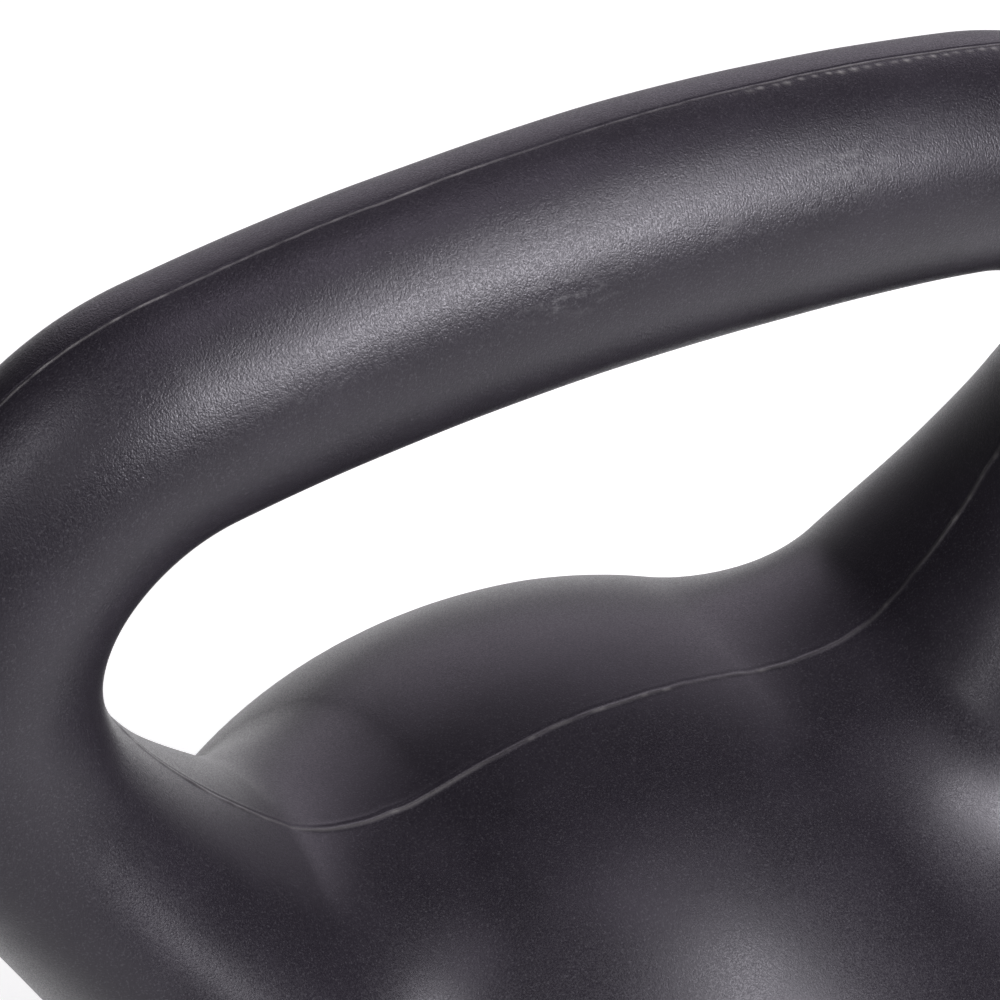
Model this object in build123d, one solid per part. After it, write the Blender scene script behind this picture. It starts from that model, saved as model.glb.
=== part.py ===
from build123d import *
import os
from math import cos, radians, sin, sqrt

# A kettlebell: a one-piece plastic shell, blow-moulded as a ball with a handle
# arch over it, filled with cast ballast through a hole in the base, which a
# pushed-in plug closes.
#
# Frame: the origin is the centre of the base, on the floor that it stands on.
# +Z is up, X runs along the handle and Y runs through the handle's window.
# The shell's moulding line lies in the plane Y = 0. Millimetres and degrees.

# Ball
BALL_RADIUS = 90.3
STAND_RADIUS = 57.4        # where the ball's sphere would meet the floor
STAND_EDGE_RADIUS = 6.0    # rounding between the ball and its flat base

# Handle centreline: from the middle of the crown, three arcs that run on
# smoothly down each side. An angle is how far the arch has turned by the
# arc's end.
CROWN_HEIGHT = 242.8
CROWN_BEND_RADIUS = 360.0
CROWN_END_ANGLE = 9.5
CORNER_BEND_RADIUS = 39.6
CORNER_END_ANGLE = 117.5
LEG_BEND_RADIUS = 246.0
LEG_END_ANGLE = 139.8

# Handle sections are ellipses. Half height is in the plane of the arch, and
# half width is across it.
GRIP_HALF_HEIGHT = 17.5
CORNER_HALF_HEIGHT = 16.7
LEG_HALF_HEIGHT = 28.0
GRIP_HALF_WIDTH = 17.2
LEG_HALF_WIDTH = 39.8
FLARE_START = 0.65         # share of the corner that keeps the grip's width
FLARE_END = 0.66           # share of the leg by which it has its full width
SECTIONS_PER_SIDE = 14

# Blend where the legs run into the ball
NECK_RADIUS = 13.4

# Shell wall, and the dish in the base that keeps the plug off the floor
WALL = 3.0
DISH_RADIUS = 40.0
DISH_DEPTH = 3.0
DISH_EDGE_RADIUS = 1.5

# Filling hole and its plug
HOLE_RADIUS = 17.0
PLUG_CLEARANCE = 0.1
PLUG_FLANGE_RADIUS = 22.0
PLUG_FLANGE_THICKNESS = 1.8
PLUG_SKIRT_DEPTH = 8.0
PLUG_WALL = 2.0
PLUG_BARB_HEIGHT = 2.5
PLUG_BARB_REACH = 0.7

# Ballast: it fills the shell from the handle down to where the pour stopped
POUR_LEVEL = 15.0
BALLAST_SHRINKAGE = 0.2


def smooth_step(value):
    """0 below 0 and 1 above 1, with a smooth rise between."""
    share = min(max(value, 0.0), 1.0)
    return share * share * (3.0 - 2.0 * share)


def arch_arcs():
    """Each arc of one side: its radius, and the angles that it starts and ends at."""
    return [
        (CROWN_BEND_RADIUS, 0.0, CROWN_END_ANGLE),
        (CORNER_BEND_RADIUS, CROWN_END_ANGLE, CORNER_END_ANGLE),
        (LEG_BEND_RADIUS, CORNER_END_ANGLE, LEG_END_ANGLE),
    ]


def arc_lengths():
    return [radius * radians(end - start) for radius, start, end in arch_arcs()]


def arch_station(distance):
    """The centreline's x, z and turn, that far along one side from the crown's middle."""
    x, z = 0.0, CROWN_HEIGHT
    left = distance
    for (radius, start, end), length in zip(arch_arcs(), arc_lengths()):
        turn = start + (end - start) * min(left / length, 1.0)
        x += radius * (sin(radians(turn)) - sin(radians(start)))
        z += radius * (cos(radians(turn)) - cos(radians(start)))
        left -= length
        if left <= 0.0:
            break
    return x, z, turn


def section_half_sizes(distance):
    """Half height and half width of the handle, that far along from the crown's middle."""
    crown, corner, leg = arc_lengths()
    leg_start = crown + corner
    flare_start = crown + FLARE_START * corner
    flare_end = leg_start + FLARE_END * leg
    slim = smooth_step(distance / (crown + corner / 2.0))
    thicken = smooth_step((distance - leg_start) / leg)
    flare = smooth_step((distance - flare_start) / (flare_end - flare_start))
    half_height = GRIP_HALF_HEIGHT + (CORNER_HALF_HEIGHT - GRIP_HALF_HEIGHT) * slim
    half_height += (LEG_HALF_HEIGHT - CORNER_HALF_HEIGHT) * thicken
    half_width = GRIP_HALF_WIDTH + (LEG_HALF_WIDTH - GRIP_HALF_WIDTH) * flare
    return half_height, half_width


def handle_arch(inset):
    """The handle as one loft from leg to leg, drawn in by the inset all round."""
    sections = []
    for index in range(-SECTIONS_PER_SIDE, SECTIONS_PER_SIDE + 1):
        share = index / SECTIONS_PER_SIDE
        side = -1.0 if share < 0.0 else 1.0
        distance = abs(share) * sum(arc_lengths())
        x, z, turn = arch_station(distance)
        half_height, half_width = section_half_sizes(distance)
        along = Vector(cos(radians(turn)), 0.0, -side * sin(radians(turn)))
        plane = Plane(origin=(side * x, 0.0, z), x_dir=(0.0, 1.0, 0.0), z_dir=along)
        sections.append(plane * Ellipse(half_width - inset, half_height - inset))
    return loft(sections)


def body(inset):
    """Ball and handle blended into one solid, drawn in by the inset all round."""
    ball_height = sqrt(BALL_RADIUS**2 - STAND_RADIUS**2)
    ball = Pos(0.0, 0.0, ball_height) * Sphere(BALL_RADIUS - inset)
    below = Box(
        4.0 * BALL_RADIUS,
        4.0 * BALL_RADIUS,
        2.0 * BALL_RADIUS,
        align=(Align.CENTER, Align.CENTER, Align.MAX),
    )
    ball -= Pos(0.0, 0.0, inset) * below
    solid = ball + handle_arch(inset)
    necks = [edge for edge in solid.edges() if is_neck(edge)]
    solid = solid.fillet(NECK_RADIUS + inset, necks)
    stand_edges = solid.edges().filter_by(GeomType.CIRCLE).sort_by(Axis.Z)[:1]
    return solid.fillet(max(STAND_EDGE_RADIUS - inset, 1.0), stand_edges)


def is_neck(edge):
    """True for an edge where a leg runs into the ball."""
    box = edge.bounding_box()
    ball_height = sqrt(BALL_RADIUS**2 - STAND_RADIUS**2)
    across = box.max.Y - box.min.Y > GRIP_HALF_WIDTH
    return across and box.min.Z > ball_height and box.max.Z < CROWN_HEIGHT - LEG_HALF_WIDTH


def disc(radius, bottom, top):
    return Pos(0.0, 0.0, bottom) * Cylinder(
        radius, top - bottom, align=(Align.CENTER, Align.CENTER, Align.MIN)
    )


def make_shell():
    """The moulded skin, with the dish and the filling hole in its base."""
    dish = disc(DISH_RADIUS, 0.0, DISH_DEPTH)
    dish = fillet(dish.edges().group_by(Axis.Z)[-1], DISH_EDGE_RADIUS)
    dish_backing = disc(DISH_RADIUS + WALL, 0.0, DISH_DEPTH + WALL)
    cavity = body(WALL) - dish_backing
    hole = disc(HOLE_RADIUS, 0.0, DISH_DEPTH + 2.0 * WALL)
    return body(0.0) - cavity - dish - hole


def make_ballast():
    """The cast filling, shrunk off the wall, with its poured face near the base."""
    below_pour = disc(2.0 * BALL_RADIUS, 0.0, POUR_LEVEL)
    return body(WALL + BALLAST_SHRINKAGE) - below_pour


def make_plug():
    """A cap with a flange under the dish and a barbed skirt up through the hole."""
    flange_top = DISH_DEPTH
    flange_bottom = flange_top - PLUG_FLANGE_THICKNESS
    skirt_radius = HOLE_RADIUS - PLUG_CLEARANCE
    skirt_top = flange_top + PLUG_SKIRT_DEPTH
    barb_bottom = DISH_DEPTH + WALL + PLUG_CLEARANCE
    flange = disc(PLUG_FLANGE_RADIUS, flange_bottom, flange_top)
    flange = fillet(flange.edges().group_by(Axis.Z)[0], PLUG_FLANGE_THICKNESS / 3.0)
    skirt = disc(skirt_radius, flange_top, skirt_top)
    barb = Pos(0.0, 0.0, barb_bottom) * Cone(
        HOLE_RADIUS + PLUG_BARB_REACH,
        skirt_radius,
        PLUG_BARB_HEIGHT,
        align=(Align.CENTER, Align.CENTER, Align.MIN),
    )
    inside = disc(skirt_radius - PLUG_WALL, flange_top, skirt_top)
    return flange + skirt + barb - inside


PARTS = {
    "shell": make_shell,
    "ballast": make_ballast,
    "filler_plug": make_plug,
}

os.makedirs("parts", exist_ok=True)
for node, make in PARTS.items():
    export_step(make(), "parts/" + node + ".step")
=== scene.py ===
from math import cos, pi, radians, sin, sqrt

import bpy
import numpy as np
from mathutils import Matrix, Vector


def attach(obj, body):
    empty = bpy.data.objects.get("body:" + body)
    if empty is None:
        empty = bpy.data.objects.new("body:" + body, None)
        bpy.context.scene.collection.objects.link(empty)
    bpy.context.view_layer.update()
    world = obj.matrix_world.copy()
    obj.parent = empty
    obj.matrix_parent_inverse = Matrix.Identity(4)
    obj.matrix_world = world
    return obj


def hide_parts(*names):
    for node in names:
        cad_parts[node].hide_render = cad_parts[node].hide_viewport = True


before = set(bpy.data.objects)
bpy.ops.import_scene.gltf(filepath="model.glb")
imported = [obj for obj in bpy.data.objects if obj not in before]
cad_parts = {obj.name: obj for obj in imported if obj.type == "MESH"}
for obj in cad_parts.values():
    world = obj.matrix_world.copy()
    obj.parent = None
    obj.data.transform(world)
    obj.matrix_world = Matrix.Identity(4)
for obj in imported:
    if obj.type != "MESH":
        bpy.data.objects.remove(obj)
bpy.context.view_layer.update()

# The looks of a plastic-shelled, ballast-filled kettlebell. The shell is one
# blow-moulded skin: its surface follows the same arcs, ellipses and sphere as
# the CAD shell, and adds the moulding line, the weld bead in the window and
# the low unevenness that the mould leaves. Shapes are worked out in
# millimetres and become metres when a mesh is made.
MM = 0.001

# ---------------------------------------------------------------- dimensions
# Ball and base
BALL_RADIUS = 90.3
STAND_RADIUS = 57.4
STAND_EDGE_RADIUS = 6.0
BALL_HEIGHT = sqrt(BALL_RADIUS**2 - STAND_RADIUS**2)

# Handle centreline: radius, start angle and end angle of each arc of one side
CROWN_HEIGHT = 242.8
ARCS = ((360.0, 0.0, 9.5), (39.6, 9.5, 117.5), (246.0, 117.5, 139.8))
ARC_LENGTHS = [radius * radians(end - start) for radius, start, end in ARCS]

# Handle sections
GRIP_HALF_HEIGHT = 17.5
CORNER_HALF_HEIGHT = 16.7
LEG_HALF_HEIGHT = 28.0
GRIP_HALF_WIDTH = 17.2
LEG_HALF_WIDTH = 39.8
FLARE_START = 0.65
FLARE_END = 0.66
NECK_RADIUS = 13.4

# Wall, dish and filling hole
WALL = 3.0
DISH_RADIUS = 40.0
DISH_DEPTH = 3.0
DISH_EDGE_RADIUS = 1.5
DISH_RIM_RADIUS = 1.0
HOLE_RADIUS = 17.0
HOLE_CHAMFER = 0.3
FLAT_EDGE = 0.6        # width of the narrow rings of faces that edge the dish's flat
CUTTER_BELOW = 4.0     # how far the cutter reaches below the floor
CUTTER_SEGMENTS = 160
SHELL_SHARP_ANGLE = 35.0

# Plug: a flange under the dish, with a moulded ring in its face, and a barbed skirt
FLANGE_RADIUS = 22.0
FLANGE_THICKNESS = 1.8
FLANGE_EDGE_RADIUS = 0.6
FACE_DEPTH = 0.7       # how far the face is sunk into the flange
FACE_RADIUS = 16.6
FACE_RIM_RADIUS = 17.2
RING_DEPTH = 0.4
RING_EDGES = (9.0, 9.4, 10.6, 11.0)
DIMPLE_DEPTH = 0.25
DIMPLE_RADIUS = 1.3
DIMPLE_RIM_RADIUS = 1.6
SKIRT_CLEARANCE = 0.1
SKIRT_DEPTH = 8.0
SKIRT_WALL = 2.0
SKIRT_CHAMFER = 0.4
SMALL_CHAMFER = 0.2
SKIRT_INNER_CHAMFER = 0.3
BARB_RADIUS = 17.6
BARB_HEIGHTS = (6.1, 6.3, 6.6, 8.6)
PLUG_SEGMENTS = 128
PLUG_SHARP_ANGLE = 28.0

# Mesh: the surface is a net of columns fanned about the window's centre, with
# close rows along the moulding line.
WINDOW_CENTRE = 190.0
COLUMNS_PER_SIDE = 640
FAN_ROWS = 72
SEAM_ROWS = (0.0, 0.1, 0.2, 0.3, 0.4, 0.5, 0.62, 0.76, 0.92, 1.1, 1.3, 1.6, 2.1, 2.8)
INNER_COLUMNS_PER_SIDE = COLUMNS_PER_SIDE // 4
INNER_FAN_ROWS = FAN_ROWS // 2
INNER_SEAM_ROWS = (0.0, 1.5)
FAN_ANGLES = 721       # directions tried when the columns are spaced
RAY_LENGTH = 150.0
RAY_STEPS = 45
RAY_HALVINGS = 14

# Relief: the wall's waves as wavelength and depth, the nicks beside the
# moulding line, the place where the weld bead thins, and the height over which
# the relief dies away above the base
WALL_WAVES = ((70.0, 0.10), (45.0, 0.07), (28.0, 0.04), (16.0, 0.02))
WAVES_PER_LENGTH = 5
NICK_SPACING = 2.1
NICKS_FROM = 20.0
NICKS_TO = 68.0
BEAD_GAP = 17.0
BASE_FLAT = 0.5
BASE_FADE = 6.0

# Places across the moulding line and the weld bead, as Y, and half widths
LIP_PLACE = -0.30
LIP_HALF_WIDTH = 0.18
GROOVE_PLACE = 0.10
GROOVE_HALF_WIDTH = 0.13
STEP_HEIGHT = 0.07
STEP_HALF_WIDTH = 2.0
NICK_PLACE = -1.05
NICK_HEIGHT = 0.05
BEAD_HALF_WIDTH = 0.42
CREASE_PLACE = 0.66
CREASE_HALF_WIDTH = 0.34
FOLD_PLACE = 1.25
FOLD_HALF_WIDTH = 0.42

# Colours of the shell's plastic
CHARCOAL_DARK = (0.0115, 0.0095, 0.0140)
CHARCOAL = (0.0160, 0.0134, 0.0192)
# Pale specks: partly dust, partly painted glints that stand in for the grain's sparkle
DUST_AND_GLINT = (0.058, 0.054, 0.064)
SCUFF = (0.15, 0.145, 0.155)
# Pale trim of the moulding line, and the painted highlight on the weld bead
PALE_LINE_AND_BEAD_HIGHLIGHT = (0.30, 0.285, 0.285)
SHEEN_TINT = (0.95, 0.92, 1.0)

# Finish of the shell's plastic: noise scales per metre, and bump heights in metres
MOTTLE_SCALE = 60.0
SPECK_SCALE = 3400.0
SPARKLE_SCALE = 4200.0
SCUFF_SCALE = 330.0
SWELL_SCALE = 160.0
SWELL_HEIGHT = 0.00005
RIDGE_SCALE = 3000.0
RIDGE_HEIGHT = 0.000055
RIDGE_SQUEEZE = 0.6
PEBBLE_SCALE = 4200.0
PEBBLE_HEIGHT = 0.00005
LEAST_ROUGHNESS = 0.30
MOST_ROUGHNESS = 0.46
PALE_SHARE = 0.72
GRAIN_ON_LEGS = 0.25            # share of the grain's depth that is left low down
GRAIN_FADE = (0.15, 0.215)      # heights between which the grain grows to its full depth

# Scuffed patches on the grip, in metres: centre, reach along each axis, strength
SCUFF_PATCHES = (
    ((-0.011, -0.016, 0.248), (0.014, 0.009, 0.005), 0.55),
    ((0.012, -0.015, 0.251), (0.014, 0.009, 0.005), 0.4),
    ((0.033, -0.014, 0.252), (0.022, 0.009, 0.006), 0.6),
    ((-0.050, -0.014, 0.248), (0.020, 0.009, 0.007), 0.35),
)

# Colours of the plug's plastic and the ballast's cement
PLUG_DARK = (0.018, 0.018, 0.02)
PLUG_LIGHT = (0.03, 0.03, 0.032)
PLUG_RUB = (0.12, 0.12, 0.12)
CEMENT_DARK = (0.20, 0.195, 0.185)
CEMENT_LIGHT = (0.36, 0.35, 0.33)
STONE = (0.16, 0.14, 0.125)

# Camera: angles in degrees, distance in metres, focal length for a 36 mm frame
AIM = (-0.0143, 0.0, 0.2046)    # what the camera and the lights point at, in metres
CAMERA_AZIMUTH = -25.89
CAMERA_ELEVATION = 37.61
CAMERA_ROLL = -2.33
CAMERA_DISTANCE = 0.51334
FOCAL_LENGTH = 133.2

# Floor: its half size in millimetres, and its glow
FLOOR_REACH = 8000.0
FLOOR_GREY = (0.7, 0.7, 0.7)
FLOOR_GLOW = 0.06               # everywhere, with more added in front and far away
FRONT_GLOW = 0.12
FAR_GLOW = 0.18
POOL_GLOW = 0.60                # a pool of light on the floor behind the object
POOL_CENTRE = (0.13, 0.30, 0.0)
POOL_EDGE = (0.30, 0.62)        # distances from its centre over which the pool fades

# World and lights. A light is its name, azimuth, elevation, distance, width,
# height, brightness and tint.
WORLD_LEVEL = 0.01
WHITE = (1.0, 1.0, 1.0)
BACK_LIGHT_TINT = (0.96, 0.88, 1.0)
LIGHTS = (
    ("key_light", 19.0, 27.0, 1.0, 0.44, 0.21, 21.5, WHITE),
    ("key_spill", 20.0, 39.0, 1.0, 0.42, 0.28, 14.5, WHITE),
    ("upper_light", 38.5, 57.5, 1.0, 0.28, 0.28, 12.2, WHITE),
    ("left_light", -84.0, 44.5, 1.0, 0.38, 0.36, 4.3, WHITE),
    ("low_left_light", -42.0, 33.0, 1.0, 0.3, 0.3, 2.2, WHITE),
    ("low_back_light", 148.0, 5.0, 1.5, 1.9, 0.3, 1.25, BACK_LIGHT_TINT),
    ("back_light", 150.0, 20.0, 1.5, 1.9, 0.55, 0.75, BACK_LIGHT_TINT),
    ("top_light", 135.0, 78.0, 1.2, 0.5, 0.5, 2.4, BACK_LIGHT_TINT),
)


# ------------------------------------------------------- the shape as a field
def smooth_step(value):
    share = np.clip(value, 0.0, 1.0)
    return share * share * (3.0 - 2.0 * share)


def nearest_on_arch(x, z):
    """How far each point is off the handle's centreline, and how far along it."""
    off = np.full(x.shape, np.inf)
    along = np.zeros(x.shape)
    start_x, start_z, start_along = 0.0, CROWN_HEIGHT, 0.0
    for (radius, start, end), length in zip(ARCS, ARC_LENGTHS):
        start, end = radians(start), radians(end)
        centre_x = start_x - radius * sin(start)
        centre_z = start_z - radius * cos(start)
        turn = np.clip(np.arctan2(x - centre_x, z - centre_z), start, end)
        gap_x = x - centre_x - radius * np.sin(turn)
        gap_z = z - centre_z - radius * np.cos(turn)
        gap = np.hypot(gap_x, gap_z)
        nearer = gap < off
        off = np.where(nearer, gap, off)
        along = np.where(nearer, start_along + radius * (turn - start), along)
        start_x = centre_x + radius * sin(end)
        start_z = centre_z + radius * cos(end)
        start_along += length
    return off, along


def half_sizes(along):
    """Half height and half width of the handle's section."""
    crown, corner, leg = ARC_LENGTHS
    leg_start = crown + corner
    flare_start = crown + FLARE_START * corner
    flare_end = leg_start + FLARE_END * leg
    slim = smooth_step(along / (crown + corner / 2.0))
    thicken = smooth_step((along - leg_start) / leg)
    flare = smooth_step((along - flare_start) / (flare_end - flare_start))
    height = GRIP_HALF_HEIGHT + (CORNER_HALF_HEIGHT - GRIP_HALF_HEIGHT) * slim
    height += (LEG_HALF_HEIGHT - CORNER_HALF_HEIGHT) * thicken
    width = GRIP_HALF_WIDTH + (LEG_HALF_WIDTH - GRIP_HALF_WIDTH) * flare
    return height, width


def field(points, inset):
    """Below 0 inside the body drawn in by the inset, and above 0 outside it."""
    x = np.abs(points[..., 0])
    y = points[..., 1]
    z = points[..., 2]
    off, along = nearest_on_arch(x, z)
    height, width = half_sizes(along)
    height = height - inset
    width = width - inset
    level = np.sqrt((off / height) ** 2 + (y / width) ** 2) + 1e-9
    slope = np.sqrt((off / height**2) ** 2 + (y / width**2) ** 2) + 1e-9
    handle = level * (level - 1.0) / slope
    ball = np.sqrt(x * x + y * y + (z - BALL_HEIGHT) ** 2) - (BALL_RADIUS - inset)
    neck = NECK_RADIUS + inset
    joined = np.hypot(np.maximum(neck - handle, 0.0), np.maximum(neck - ball, 0.0))
    body = np.maximum(neck, np.minimum(handle, ball)) - joined
    edge = max(STAND_EDGE_RADIUS - inset, 1.0)
    floor = inset - z
    if inset:
        floor = DISH_DEPTH + inset - z
    cut = np.hypot(np.maximum(edge + body, 0.0), np.maximum(edge + floor, 0.0))
    return np.minimum(-edge, np.maximum(body, floor)) + cut


# ------------------------------------------------------------ meshing the net
def fan_columns(count, inset):
    """Directions from the window's centre, and the middle of the body along each."""
    angles = np.linspace(pi / 2.0, -pi / 2.0, FAN_ANGLES)
    reach = np.arange(4.0, 260.0, 0.5)
    along_x = np.cos(angles)
    along_z = np.sin(angles)
    points = np.zeros((len(angles), len(reach), 3))
    points[..., 0] = along_x[:, None] * reach
    points[..., 2] = WINDOW_CENTRE + along_z[:, None] * reach
    inside = field(points, inset) < 0.0
    first = reach[inside.argmax(axis=1)]
    last = reach[len(reach) - 1 - inside[:, ::-1].argmax(axis=1)]
    middle = (first + last) / 2.0
    steps = np.hypot(np.diff(along_x * middle), np.diff(along_z * middle))
    length = np.concatenate([[0.0], np.cumsum(steps)])
    wanted = np.linspace(0.0, length[-1], count)
    angle = np.interp(wanted, length, angles)
    return angle, np.interp(wanted, length, middle)


def cast(origin, direction, inset):
    """Where rays from inside the body first leave it."""
    reach = np.linspace(0.0, RAY_LENGTH, RAY_STEPS + 1)
    low = np.zeros(origin.shape[:-1])
    found = np.zeros(origin.shape[:-1], dtype=bool)
    for near, far in zip(reach[:-1], reach[1:]):
        outside = field(origin + direction * far, inset) >= 0.0
        low = np.where(outside & ~found, near, low)
        found |= outside
    high = low + (reach[1] - reach[0])
    for _ in range(RAY_HALVINGS):
        middle = (low + high) / 2.0
        outside = field(origin + direction * middle[..., None], inset) >= 0.0
        high = np.where(outside, middle, high)
        low = np.where(outside, low, middle)
    return origin + direction * ((low + high) / 2.0)[..., None]


def fan_points(angle, middle, turn, offset, inset):
    """Surface points: one column per angle and one row per turn and offset."""
    outward = np.stack([np.cos(angle), 0.0 * angle, np.sin(angle)], axis=-1)
    origin = outward * middle[:, None]
    origin[:, 2] += WINDOW_CENTRE
    origin = np.repeat(origin[:, None, :], turn.shape[1], axis=1)
    origin[..., 1] = offset
    direction = outward[:, None, :] * np.cos(turn)[..., None]
    direction[..., 1] = np.sin(turn)
    return cast(origin, direction, inset)


def quarter_net(columns, fan_rows, seam_rows, inset):
    """The quarter with x and y above 0, from the window's line to the outer line."""
    angle, middle = fan_columns(columns, inset)
    seam = np.array(seam_rows)
    edge = seam[-1]
    even = np.linspace(pi, 0.0, fan_rows)
    rough_turn = np.repeat(even[None, :], columns, axis=0)
    rough = fan_points(angle, middle, rough_turn, edge, inset)
    steps = np.linalg.norm(np.diff(rough, axis=1), axis=-1)
    length = np.concatenate([np.zeros((columns, 1)), np.cumsum(steps, axis=1)], axis=1)
    turn = np.empty((columns, fan_rows))
    for column in range(columns):
        wanted = np.linspace(0.0, length[column, -1], fan_rows)
        turn[column] = np.interp(wanted, length[column], even)
    inner = np.full((columns, len(seam) - 1), pi)
    outer = np.zeros((columns, len(seam) - 1))
    turn = np.concatenate([inner, turn, outer], axis=1)
    offset = np.concatenate([seam[:-1], np.full(fan_rows, edge), seam[:-1][::-1]])
    return fan_points(angle, middle, turn, offset, inset)


def whole_net(quarter):
    """The quarter mirrored in y and in x, as a net that closes both ways."""
    back = quarter[:, -2:0:-1] * (1.0, -1.0, 1.0)
    half = np.concatenate([quarter, back], axis=1)
    left = half[-2:0:-1] * (-1.0, 1.0, 1.0)
    return np.concatenate([half, left], axis=0)


def net_faces(columns, rows, first=0):
    index = first + np.arange(columns * rows).reshape(columns, rows)
    across = np.roll(index, -1, axis=0)
    corners = [index, np.roll(index, -1, axis=1), np.roll(across, -1, axis=1), across]
    return np.stack(corners, axis=-1).reshape(-1, 4)


def net_normals(net):
    along = np.roll(net, -1, axis=0) - np.roll(net, 1, axis=0)
    across = np.roll(net, -1, axis=1) - np.roll(net, 1, axis=1)
    normal = np.cross(across, along)
    return normal / np.linalg.norm(normal, axis=-1, keepdims=True)


# ---------------------------------------------------------------- the relief
def wander(place, spacing, seed, count=4096):
    """A smooth random curve along a line, from -1 to 1, with bends that far apart."""
    values = np.random.default_rng(seed).uniform(-1.0, 1.0, count)
    share = place / spacing
    low = np.floor(share).astype(int)
    part = smooth_step(share - low)
    return values[low % count] * (1.0 - part) + values[(low + 1) % count] * part


def line_lengths(net, row):
    steps = np.linalg.norm(np.diff(net[:, row], axis=0), axis=-1)
    return np.concatenate([[0.0], np.cumsum(steps)])


def bump_across(y, middle, half_width):
    return np.exp(-(((y - middle) / half_width) ** 2))


def uneven(net):
    """The long, low unevenness of a blown wall."""
    rng = np.random.default_rng(11)
    height = np.zeros(net.shape[:2])
    for wavelength, depth in WALL_WAVES:
        for _ in range(WAVES_PER_LENGTH):
            direction = rng.normal(size=3)
            direction *= 2.0 * pi / wavelength / np.linalg.norm(direction)
            height += depth * np.sin(net @ direction + rng.uniform(0.0, 2.0 * pi)) / 2.0
    return height


def outer_line(place, x, y):
    """Height and paleness of the trimmed moulding line over the handle and ball."""
    shift = 0.12 * wander(place, 9.0, 21) + 0.06 * wander(place, 1.7, 22)
    raggedness = 0.5 + 0.5 * wander(place, 1.3, 23)
    strength = 0.55 + 0.45 * wander(place, 23.0, 24)
    lip = (0.04 + 0.09 * raggedness * strength) * bump_across(y, shift + LIP_PLACE, LIP_HALF_WIDTH)
    groove = -(0.05 + 0.03 * strength) * bump_across(y, shift + GROOVE_PLACE, GROOVE_HALF_WIDTH)
    one_side = smooth_step((y - shift) / 0.5 + 0.5)
    step = STEP_HEIGHT * one_side * bump_across(y, 0.0, STEP_HALF_WIDTH)
    pale = (0.25 + 0.75 * raggedness) * strength * bump_across(y, shift + LIP_PLACE, 0.19)
    nick, nick_pale = trim_nicks(place, x, y)
    return lip + groove + step + nick, np.maximum(pale, nick_pale)


def trim_nicks(place, x, y):
    """The row of small rubbed nicks that the trimming knife left beside the line."""
    number = np.floor(place / NICK_SPACING)
    draws = np.random.default_rng(25).uniform(0.0, 1.0, (4, 1024))
    jitter = draws[:, number.astype(int) % 1024]
    middle = (number + 0.35 + 0.3 * jitter[0]) * NICK_SPACING
    across = bump_across(y, NICK_PLACE - 0.25 * jitter[1], 0.26 + 0.12 * jitter[2])
    along = np.exp(-(((place - middle) / (0.30 + 0.22 * jitter[2])) ** 2))
    region = smooth_step((x - NICKS_FROM) / 8.0) * smooth_step((NICKS_TO - x) / 6.0)
    mark = region * across * along * (0.5 + 0.5 * jitter[3])
    return NICK_HEIGHT * mark, mark


def inner_line(place, x, y):
    """Height of the weld bead round the window, and its paleness, which is a painted highlight on
    the bead.
    """
    shift = 0.35 * wander(place, 14.0, 31) + 0.12 * wander(place, 3.1, 32)
    size = 0.10 + 0.04 * wander(place, 5.0, 33) + 0.03 * wander(place, 1.4, 34)
    size = size * (0.35 + 0.65 * smooth_step(np.abs(x - BEAD_GAP) / 5.0))
    doubled = smooth_step((-x - 12.0) / 14.0)
    bead = size * (1.0 + 0.7 * doubled) * bump_across(y, shift, BEAD_HALF_WIDTH)
    crease = -(0.02 + 0.01 * doubled) * bump_across(y, shift + CREASE_PLACE, CREASE_HALF_WIDTH)
    fold = (0.02 + 0.05 * doubled) * bump_across(y, shift + FOLD_PLACE, FOLD_HALF_WIDTH)
    dab = smooth_step(wander(place, 1.9, 35) * 2.2 - 0.9)
    # The bead's paleness is a painted highlight, brightest where the bead doubles
    tone = 0.15 + 0.07 * wander(place, 6.0, 36) + 0.22 * dab + 0.12 * doubled
    pale = tone * bump_across(y, shift - 0.05, 0.36)
    return bead + crease + fold, np.clip(pale, 0.0, 1.0)


def relieve(net, seam_count):
    """Raises the lines and the unevenness on the net, and returns the paleness: the pale trim and
    nicks along the moulding line, and the painted highlight on the weld bead.
    """
    rows = net.shape[1]
    outer_row = rows // 2
    height = uneven(net)
    pale = np.zeros(net.shape[:2])
    for row in range(rows):
        from_inner = min(row, rows - row)
        from_outer = abs(row - outer_row)
        x = net[:, row, 0]
        y = net[:, row, 1]
        if from_inner < seam_count:
            rise, light = inner_line(line_lengths(net, 0), x, y)
        elif from_outer < seam_count:
            rise, light = outer_line(line_lengths(net, outer_row), x, y)
        else:
            continue
        height[:, row] += rise
        pale[:, row] = light
    # The flat base is the mould's own face: it stays flat, on the floor.
    off_base = smooth_step((net[..., 2] - BASE_FLAT) / BASE_FADE)
    return net + net_normals(net) * (height * off_base)[..., None], pale * off_base


# ------------------------------------------------------------ making objects
def new_object(name, vertices, faces):
    mesh = bpy.data.meshes.new(name)
    mesh.from_pydata((np.asarray(vertices) * MM).tolist(), [], [list(face) for face in faces])
    mesh.update()
    thing = bpy.data.objects.new(name, mesh)
    bpy.context.collection.objects.link(thing)
    return thing


def shade(thing, angle):
    """Smooth all over, but for edges sharper than the angle in degrees."""
    mesh = thing.data
    mesh.polygons.foreach_set("use_smooth", [True] * len(mesh.polygons))
    mesh.set_sharp_from_angle(angle=radians(angle))
    mesh.update()


def arc_points(centre, radius, start, end, count):
    turns = [radians(start + (end - start) * step / count) for step in range(count + 1)]
    return [(centre[0] + radius * cos(t), centre[1] + radius * sin(t)) for t in turns]


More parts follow.
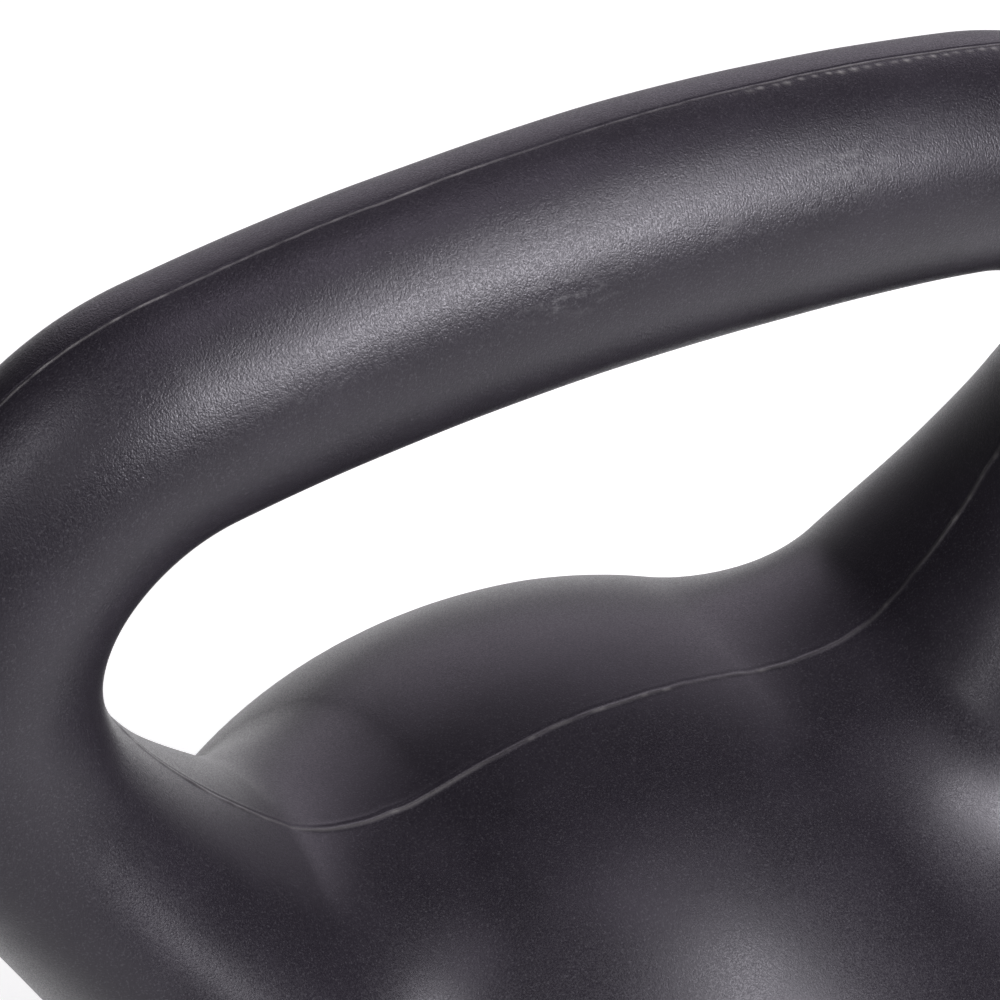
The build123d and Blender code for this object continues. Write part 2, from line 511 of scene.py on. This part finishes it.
def revolve(name, profile, segments):
    """A closed solid turned about Z from (radius, height) points that start and end on it."""
    rings = profile[1:-1]
    vertices = [(0.0, 0.0, profile[0][1])]
    for radius, height in rings:
        for step in range(segments):
            turn = 2.0 * pi * step / segments
            vertices.append((radius * cos(turn), radius * sin(turn), height))
    vertices.append((0.0, 0.0, profile[-1][1]))
    last = len(vertices) - 1
    faces = []
    for step in range(segments):
        after = (step + 1) % segments
        faces.append((0, 1 + after, 1 + step))
        for ring in range(len(rings) - 1):
            low = 1 + ring * segments
            high = low + segments
            faces.append((low + step, low + after, high + after, high + step))
        top = 1 + (len(rings) - 1) * segments
        faces.append((top + step, top + after, last))
    return new_object(name, vertices, faces)


def base_cutter():
    """What the dish and the filling hole take out of the base."""
    rim = DISH_RADIUS + DISH_RIM_RADIUS
    corner = DISH_RADIUS - DISH_EDGE_RADIUS
    hole_rim = HOLE_RADIUS + HOLE_CHAMFER
    top = DISH_DEPTH + 3.0 * WALL
    profile = [(0.0, -CUTTER_BELOW), (rim, -CUTTER_BELOW)]
    profile += arc_points((rim, DISH_RIM_RADIUS), DISH_RIM_RADIUS, -90.0, -180.0, 6)
    profile += arc_points((corner, DISH_DEPTH - DISH_EDGE_RADIUS), DISH_EDGE_RADIUS, 0.0, 90.0, 6)
    profile += [(corner - FLAT_EDGE, DISH_DEPTH), (hole_rim + FLAT_EDGE, DISH_DEPTH)]
    profile += [(hole_rim, DISH_DEPTH), (HOLE_RADIUS, DISH_DEPTH + HOLE_CHAMFER)]
    profile += [(HOLE_RADIUS, top), (0.0, top)]
    return revolve("base_cutter", profile, CUTTER_SEGMENTS)


def cut(thing, cutter):
    modifier = thing.modifiers.new("cut", "BOOLEAN")
    modifier.operation = "DIFFERENCE"
    modifier.solver = "EXACT"
    modifier.object = cutter
    graph = bpy.context.evaluated_depsgraph_get()
    mesh = bpy.data.meshes.new_from_object(thing.evaluated_get(graph))
    thing.modifiers.clear()
    thing.data = mesh
    bpy.data.objects.remove(cutter)


def make_shell():
    outer = whole_net(quarter_net(COLUMNS_PER_SIDE, FAN_ROWS, SEAM_ROWS, 0.0))
    outer, pale = relieve(outer, len(SEAM_ROWS))
    inner = whole_net(quarter_net(INNER_COLUMNS_PER_SIDE, INNER_FAN_ROWS, INNER_SEAM_ROWS, WALL))
    outer_count = outer.shape[0] * outer.shape[1]
    outer_faces = net_faces(outer.shape[0], outer.shape[1])
    inner_faces = net_faces(inner.shape[0], inner.shape[1], outer_count)[:, ::-1]
    vertices = np.concatenate([outer.reshape(-1, 3), inner.reshape(-1, 3)])
    faces = np.concatenate([outer_faces, inner_faces])
    shell = new_object("moulded_shell", vertices, faces)
    paleness = np.concatenate([pale.reshape(-1), np.zeros(len(vertices) - outer_count)])
    layer = shell.data.attributes.new("pale", "FLOAT", "POINT")
    layer.data.foreach_set("value", paleness.astype(np.float32))
    cut(shell, base_cutter())
    shade(shell, SHELL_SHARP_ANGLE)
    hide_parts("shell")
    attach(shell, "root")
    return shell


def make_plug():
    """The cap in the base: a flange with a shallow ringed face and a barbed skirt."""
    bottom = DISH_DEPTH - FLANGE_THICKNESS
    face = bottom + FACE_DEPTH
    dimple = bottom + DIMPLE_DEPTH
    ring = bottom + RING_DEPTH
    edge = FLANGE_RADIUS - FLANGE_EDGE_RADIUS
    skirt = HOLE_RADIUS - SKIRT_CLEARANCE
    inside = skirt - SKIRT_WALL
    top = DISH_DEPTH + SKIRT_DEPTH
    barb_bottom, barb_low, barb_high, barb_top = BARB_HEIGHTS
    profile = [(0.0, dimple), (DIMPLE_RADIUS, dimple), (DIMPLE_RIM_RADIUS, face)]
    profile += list(zip(RING_EDGES, (face, ring, ring, face)))
    profile += [(FACE_RADIUS, face), (FACE_RIM_RADIUS, bottom)]
    profile += arc_points((edge, bottom + FLANGE_EDGE_RADIUS), FLANGE_EDGE_RADIUS, -90.0, 0.0, 5)
    profile += [(FLANGE_RADIUS, DISH_DEPTH - SMALL_CHAMFER)]
    profile += [(FLANGE_RADIUS - SMALL_CHAMFER, DISH_DEPTH)]
    profile += [(skirt, DISH_DEPTH), (skirt, barb_bottom), (BARB_RADIUS, barb_low)]
    profile += [(BARB_RADIUS, barb_high), (skirt, barb_top), (skirt, top - SKIRT_CHAMFER)]
    profile += [(skirt - SKIRT_CHAMFER, top), (inside + SKIRT_INNER_CHAMFER, top)]
    profile += [(inside, top - SKIRT_INNER_CHAMFER)]
    profile += [(inside, DISH_DEPTH + SKIRT_CHAMFER), (inside - SKIRT_CHAMFER, DISH_DEPTH)]
    profile.append((0.0, DISH_DEPTH))
    plug = revolve("plug_cap", profile, PLUG_SEGMENTS)
    shade(plug, PLUG_SHARP_ANGLE)
    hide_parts("filler_plug")
    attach(plug, "root")
    return plug


# ----------------------------------------------------------------- materials
def new_material(name):
    material = bpy.data.materials.new(name)
    material.use_nodes = True
    return material, material.node_tree.nodes, material.node_tree.links


def noise(nodes, links, place, scale, detail=2.0, roughness=0.5):
    node = nodes.new("ShaderNodeTexNoise")
    node.inputs["Scale"].default_value = scale
    node.inputs["Detail"].default_value = detail
    node.inputs["Roughness"].default_value = roughness
    links.new(place, node.inputs["Vector"])
    return node.outputs["Fac"]


def ramp(nodes, links, value, low, high, low_level=0.0, high_level=1.0):
    """Takes a value between two limits to a value between two levels."""
    node = nodes.new("ShaderNodeMapRange")
    node.interpolation_type = "SMOOTHSTEP"
    node.inputs["From Min"].default_value = low
    node.inputs["From Max"].default_value = high
    node.inputs["To Min"].default_value = low_level
    node.inputs["To Max"].default_value = high_level
    links.new(value, node.inputs["Value"])
    return node.outputs["Result"]


def combine(nodes, links, operation, first, second):
    node = nodes.new("ShaderNodeMath")
    node.operation = operation
    for socket, value in zip(node.inputs, (first, second)):
        if isinstance(value, float):
            socket.default_value = value
        else:
            links.new(value, socket)
    return node.outputs["Value"]


def mix_colours(nodes, links, share, first, second):
    node = nodes.new("ShaderNodeMix")
    node.data_type = "RGBA"
    links.new(share, node.inputs["Factor"])
    for name, value in (("A", first), ("B", second)):
        socket = [s for s in node.inputs if s.name == name and s.type == "RGBA"][0]
        if isinstance(value, tuple):
            socket.default_value = (*value, 1.0)
        else:
            links.new(value, socket)
    return [s for s in node.outputs if s.type == "RGBA"][0]


def bump(nodes, links, height, distance, strength, normal=None):
    node = nodes.new("ShaderNodeBump")
    node.inputs["Distance"].default_value = distance
    node.inputs["Strength"].default_value = strength
    links.new(height, node.inputs["Height"])
    if normal is not None:
        links.new(normal, node.inputs["Normal"])
    return node.outputs["Normal"]


def stretched(nodes, links, place, scale):
    node = nodes.new("ShaderNodeMapping")
    node.inputs["Scale"].default_value = scale
    links.new(place, node.inputs["Vector"])
    return node.outputs["Vector"]


def shell_plastic():
    """Satin charcoal polyethylene: mould grain round the handle, scuffs, pale line edges and a
    painted highlight on the weld bead.
    """
    material, nodes, links = new_material("shell_plastic")
    shader = nodes["Principled BSDF"]
    place = nodes.new("ShaderNodeTexCoord").outputs["Object"]

    # Colour: a faint mottle, dust specks that are also painted glints of the grain, scuffs where
    # hands rub, pale line edges with a painted highlight on the weld bead
    mottle = noise(nodes, links, place, MOTTLE_SCALE, 4.0, 0.6)
    speck = noise(nodes, links, place, SPECK_SCALE, 2.0)
    cloud = ramp(nodes, links, mottle, 0.35, 0.7)
    colour = mix_colours(nodes, links, cloud, CHARCOAL_DARK, CHARCOAL)
    # The specks are partly dust and partly painted glints of the grain's sparkle
    dust_and_glint = ramp(nodes, links, speck, 0.52, 0.74, 0.0, 0.5)
    colour = mix_colours(nodes, links, dust_and_glint, colour, DUST_AND_GLINT)
    scuff = scuffs(nodes, links, place)
    colour = mix_colours(nodes, links, scuff, colour, SCUFF)
    # Paleness along the lines: the pale trim of the moulding line, and a painted highlight on the
    # weld bead
    pale = nodes.new("ShaderNodeAttribute")
    pale.attribute_name = "pale"
    pale_share = combine(nodes, links, "MULTIPLY", pale.outputs["Fac"], PALE_SHARE)
    colour = mix_colours(nodes, links, pale_share, colour, PALE_LINE_AND_BEAD_HIGHLIGHT)
    links.new(colour, shader.inputs["Base Color"])

    # Gloss: satin, a little rougher where it is scuffed
    sparkle = noise(nodes, links, place, SPARKLE_SCALE, 1.0)
    rough = ramp(nodes, links, sparkle, 0.35, 0.65, LEAST_ROUGHNESS, MOST_ROUGHNESS)
    scuffed = combine(nodes, links, "MULTIPLY", scuff, 0.3)
    rough = combine(nodes, links, "ADD", rough, scuffed)
    links.new(rough, shader.inputs["Roughness"])
    shader.inputs["IOR"].default_value = 1.5
    shader.inputs["Specular Tint"].default_value = (*SHEEN_TINT, 1.0)

    # Grain: short ridges that run round the handle, with a finer pebble on top.
    # It is deep on the handle and dies away down the legs, as in the mould.
    ridge_place = stretched(nodes, links, place, (1.0, RIDGE_SQUEEZE, RIDGE_SQUEEZE))
    ridges = noise(nodes, links, ridge_place, RIDGE_SCALE, 2.0, 0.6)
    pebble = noise(nodes, links, place, PEBBLE_SCALE, 1.0, 0.5)
    on_handle = ramp(nodes, links, height_of(nodes, links, place), *GRAIN_FADE, GRAIN_ON_LEGS, 1.0)
    ridges = combine(nodes, links, "MULTIPLY", ridges, on_handle)
    pebble = combine(nodes, links, "MULTIPLY", pebble, on_handle)
    swell = noise(nodes, links, place, SWELL_SCALE, 3.0)
    normal = bump(nodes, links, swell, SWELL_HEIGHT, 0.5)
    normal = bump(nodes, links, ridges, RIDGE_HEIGHT, 1.0, normal)
    normal = bump(nodes, links, pebble, PEBBLE_HEIGHT, 1.0, normal)
    links.new(normal, shader.inputs["Normal"])
    return material


def height_of(nodes, links, place):
    split = nodes.new("ShaderNodeSeparateXYZ")
    links.new(place, split.inputs["Vector"])
    return split.outputs["Z"]


def scuffs(nodes, links, place):
    """Share of scuffing: cloudy rubs in patches on the front of the grip."""
    drag_place = stretched(nodes, links, place, (1.0, 2.2, 2.2))
    rub = ramp(nodes, links, noise(nodes, links, drag_place, SCUFF_SCALE, 8.0, 0.75), 0.48, 0.74)
    total = None
    for centre, reach, strength in SCUFF_PATCHES:
        patch = near_patch(nodes, links, place, centre, reach, strength)
        total = patch if total is None else combine(nodes, links, "MAXIMUM", total, patch)
    return combine(nodes, links, "MULTIPLY", rub, total)


def near_patch(nodes, links, place, centre, reach, strength):
    """The strength at a patch's centre, and nothing beyond its reach along X, Y and Z."""
    offset = nodes.new("ShaderNodeVectorMath")
    offset.operation = "SUBTRACT"
    offset.inputs[1].default_value = centre
    links.new(place, offset.inputs[0])
    share = stretched(nodes, links, offset.outputs["Vector"], tuple(1.0 / size for size in reach))
    distance = nodes.new("ShaderNodeVectorMath")
    distance.operation = "LENGTH"
    links.new(share, distance.inputs[0])
    return ramp(nodes, links, distance.outputs["Value"], 0.0, 1.0, strength, 0.0)


def plug_plastic():
    """Plain matte black plastic with a fine spark-eroded texture and a few rubs."""
    material, nodes, links = new_material("plug_plastic")
    shader = nodes["Principled BSDF"]
    place = nodes.new("ShaderNodeTexCoord").outputs["Object"]
    cloud = noise(nodes, links, place, 60.0, 4.0, 0.6)
    rub = ramp(nodes, links, noise(nodes, links, place, 300.0, 5.0, 0.7), 0.6, 0.75, 0.0, 0.3)
    colour = mix_colours(nodes, links, cloud, PLUG_DARK, PLUG_LIGHT)
    colour = mix_colours(nodes, links, rub, colour, PLUG_RUB)
    links.new(colour, shader.inputs["Base Color"])
    links.new(ramp(nodes, links, cloud, 0.3, 0.7, 0.5, 0.62), shader.inputs["Roughness"])
    spark = noise(nodes, links, place, 3000.0, 2.0)
    links.new(bump(nodes, links, spark, 0.00003, 0.6), shader.inputs["Normal"])
    return material


def ballast_cement():
    """Cured cement mix: grey paste with sand, small stones and air pits."""
    material, nodes, links = new_material("ballast_cement")
    shader = nodes["Principled BSDF"]
    place = nodes.new("ShaderNodeTexCoord").outputs["Object"]
    cloud = noise(nodes, links, place, 30.0, 5.0, 0.6)
    stones = nodes.new("ShaderNodeTexVoronoi")
    stones.inputs["Scale"].default_value = 260.0
    links.new(place, stones.inputs["Vector"])
    colour = mix_colours(nodes, links, cloud, CEMENT_DARK, CEMENT_LIGHT)
    stone_share = ramp(nodes, links, stones.outputs["Distance"], 0.15, 0.35, 0.5, 0.0)
    colour = mix_colours(nodes, links, stone_share, colour, STONE)
    links.new(colour, shader.inputs["Base Color"])
    links.new(ramp(nodes, links, cloud, 0.3, 0.7, 0.8, 0.95), shader.inputs["Roughness"])
    pits = noise(nodes, links, place, 700.0, 6.0, 0.7)
    links.new(bump(nodes, links, pits, 0.0004, 0.8), shader.inputs["Normal"])
    return material


def pale_floor():
    """A plain white floor, glowing a little like a light table, more behind the object."""
    material, nodes, links = new_material("pale_floor")
    shader = nodes["Principled BSDF"]
    shader.inputs["Base Color"].default_value = (*FLOOR_GREY, 1.0)
    shader.inputs["Roughness"].default_value = 0.8
    shader.inputs["Specular IOR Level"].default_value = 0.2
    shader.inputs["Emission Color"].default_value = (*WHITE, 1.0)
    place = nodes.new("ShaderNodeTexCoord").outputs["Object"]
    split = nodes.new("ShaderNodeSeparateXYZ")
    links.new(place, split.inputs["Vector"])
    front = ramp(nodes, links, split.outputs["Y"], -0.2, 0.0, FLOOR_GLOW + FRONT_GLOW, FLOOR_GLOW)
    reach = nodes.new("ShaderNodeVectorMath")
    reach.operation = "LENGTH"
    links.new(place, reach.inputs[0])
    far = ramp(nodes, links, reach.outputs["Value"], 0.5, 2.2, 0.0, FAR_GLOW)
    offset = nodes.new("ShaderNodeVectorMath")
    offset.operation = "DISTANCE"
    offset.inputs[1].default_value = POOL_CENTRE
    links.new(place, offset.inputs[0])
    pool = ramp(nodes, links, offset.outputs["Value"], *POOL_EDGE, POOL_GLOW, 0.0)
    glow = combine(nodes, links, "ADD", combine(nodes, links, "ADD", front, far), pool)
    links.new(glow, shader.inputs["Emission Strength"])
    return material


def give(thing, material):
    thing.data.materials.clear()
    thing.data.materials.append(material)


# ------------------------------------------------------------------ the stage
def make_floor():
    near, far = -FLOOR_REACH, FLOOR_REACH
    corners = [(near, near, 0.0), (far, near, 0.0), (far, far, 0.0), (near, far, 0.0)]
    floor = new_object("floor", corners, [(0, 1, 2, 3)])
    give(floor, pale_floor())
    return floor


def make_camera(azimuth, elevation, roll, distance, target, focal):
    """A camera that looks at the target from an azimuth and elevation, in degrees."""
    azimuth, elevation, roll = radians(azimuth), radians(elevation), radians(roll)
    back = Vector((sin(azimuth) * cos(elevation), -cos(azimuth) * cos(elevation), sin(elevation)))
    right = (-back).cross(Vector((0.0, 0.0, 1.0))).normalized()
    up = right.cross(-back)
    right, up = cos(roll) * right + sin(roll) * up, -sin(roll) * right + cos(roll) * up
    data = bpy.data.cameras.new("camera")
    data.sensor_width = 36.0
    data.lens = focal
    data.clip_start = 0.01
    data.clip_end = 100.0
    camera = bpy.data.objects.new("camera", data)
    bpy.context.collection.objects.link(camera)
    place = Vector(target) + back * distance
    camera.matrix_world = Matrix.Translation(place) @ Matrix((right, up, back)).transposed().to_4x4()
    bpy.context.scene.camera = camera
    return camera


def direction(azimuth, elevation):
    """The way from the object to something at that azimuth and elevation, in degrees."""
    azimuth, elevation = radians(azimuth), radians(elevation)
    level = cos(elevation)
    return Vector((sin(azimuth) * level, -cos(azimuth) * level, sin(elevation)))


def soft_light(name, azimuth, elevation, distance, width, height, brightness, tint):
    """A softbox that faces the object. Its power is what gives its face that brightness."""
    data = bpy.data.lights.new(name, "AREA")
    data.shape = "RECTANGLE"
    data.size = width
    data.size_y = height
    data.energy = brightness * pi * width * height
    data.color = tint
    light = bpy.data.objects.new(name, data)
    bpy.context.collection.objects.link(light)
    away = direction(azimuth, elevation)
    place = Matrix.Translation(Vector(AIM) + away * distance)
    light.matrix_world = place @ away.to_track_quat("Z", "Y").to_matrix().to_4x4()
    light.visible_camera = False
    return light


def make_world(level):
    world = bpy.data.worlds.new("studio")
    world.use_nodes = True
    background = world.node_tree.nodes["Background"]
    background.inputs["Color"].default_value = (*WHITE, 1.0)
    background.inputs["Strength"].default_value = level
    bpy.context.scene.world = world


# ------------------------------------------------------------------ the model
shell = make_shell()
give(shell, shell_plastic())
plug = make_plug()
give(plug, plug_plastic())
give(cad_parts["ballast"], ballast_cement())

make_floor()
make_world(WORLD_LEVEL)
make_camera(CAMERA_AZIMUTH, CAMERA_ELEVATION, CAMERA_ROLL, CAMERA_DISTANCE, AIM, FOCAL_LENGTH)
for light in LIGHTS:
    soft_light(*light)
bpy.context.scene.view_settings.view_transform = "Standard"
